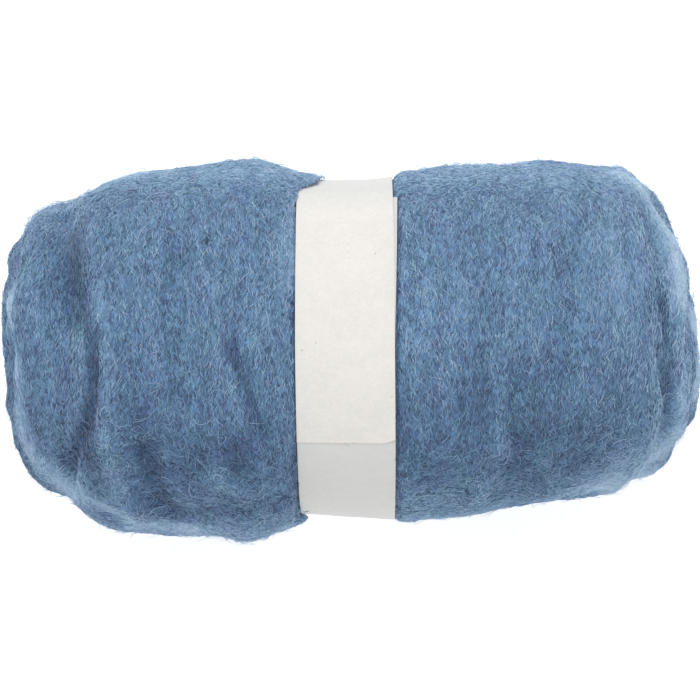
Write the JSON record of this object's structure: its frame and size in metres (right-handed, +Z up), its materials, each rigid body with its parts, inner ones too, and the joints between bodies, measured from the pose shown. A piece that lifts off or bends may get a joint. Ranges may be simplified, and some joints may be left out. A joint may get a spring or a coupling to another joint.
{
  "type": "roll of carded wool",
  "caption": "Roll of carded wool on its side, drawn in at its middle by a plain paper band; wool for felting, spinning or stuffing.",
  "frame": {"origin": "centre of the bounding box at its base, on the surface that the roll lies on", "axes": "+X along the roll's axis, +Z up, +Y to the roll's back"},
  "size_m": [0.2602, 0.1432, 0.1227],
  "materials": {
    "wool": "matt blue carded fibre",
    "paper": "plain uncoated off-white"
  },
  "bodies": {
    "root": {"wool_roll": "wool", "paper_band": "paper"}
  },
  "joints": []
}
